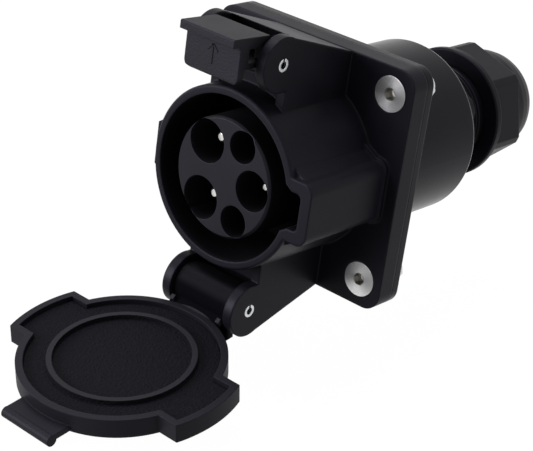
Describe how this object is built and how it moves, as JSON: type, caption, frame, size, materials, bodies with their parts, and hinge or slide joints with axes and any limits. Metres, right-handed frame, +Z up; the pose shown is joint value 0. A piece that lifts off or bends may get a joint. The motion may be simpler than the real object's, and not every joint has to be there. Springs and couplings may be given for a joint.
{
  "type": "charge port inlet",
  "caption": "Panel-mount electric vehicle charging socket: round keyed nose with recessed pin contacts, hinged lid with gasket, sprung lid latch, screwed flange, rear cover and cable gland",
  "frame": {"origin": "on the socket's axis, in the rear face of the flange stack, where it seats on a panel", "axes": "-Y out of the socket's mouth, +Y along the cable entry, +Z up towards the latch, +X to the key notch"},
  "size_m": [0.0672, 0.1849, 0.0954],
  "materials": {
    "inlet_housing": "satin moulded",
    "contact_carrier": "satin moulded",
    "contacts": "silver plated",
    "seals": "silicone",
    "retainer": "moulded",
    "bright_steel": "turned",
    "black_rubber": "matte",
    "rear_cover": "polished moulded",
    "lid": "fine grain",
    "lid_gasket": "closed-cell foam",
    "latch": "fine grain",
    "gland": "satin moulded"
  },
  "bodies": {
    "inlet": {"inlet_housing": "inlet_housing", "contact_carrier": "contact_carrier", "line_pin_1": "contacts", "line_pin_2": "contacts", "ground_pin": "contacts", "pilot_pin": "contacts", "proximity_pin": "contacts", "pin_seals": "seals", "pin_retainer": "retainer", "retainer_screws": "bright_steel", "flange_seal": "black_rubber", "rear_cover": "rear_cover", "flange_screws": "bright_steel", "flange_nuts": "bright_steel", "lid_hinge_pin": "bright_steel", "latch_pin": "bright_steel", "latch_spring": "bright_steel", "gland_body": "gland", "gland_gasket": "black_rubber", "gland_locknut": "gland", "gland_seal": "black_rubber", "gland_clamp": "gland", "gland_nut": "gland"},
    "lid_body": {"lid": "lid", "lid_gasket": "lid_gasket"},
    "latch_body": {"latch": "latch"}
  },
  "joints": [
    {"name": "lid_hinge", "type": "hinge", "parent": "inlet", "child": "lid_body", "pos_m": [0, -0.0351, -0.0339], "axis": [-1, 0, 0], "range_deg": [0, 100]},
    {"name": "latch_pivot", "type": "hinge", "parent": "inlet", "child": "latch_body", "pos_m": [0, -0.0351, 0.0339], "axis": [-1, 0, 0], "range_deg": [0, 35], "stiffness_Nm_per_rad": 0.03, "springref_deg": -17.19}
  ]
}
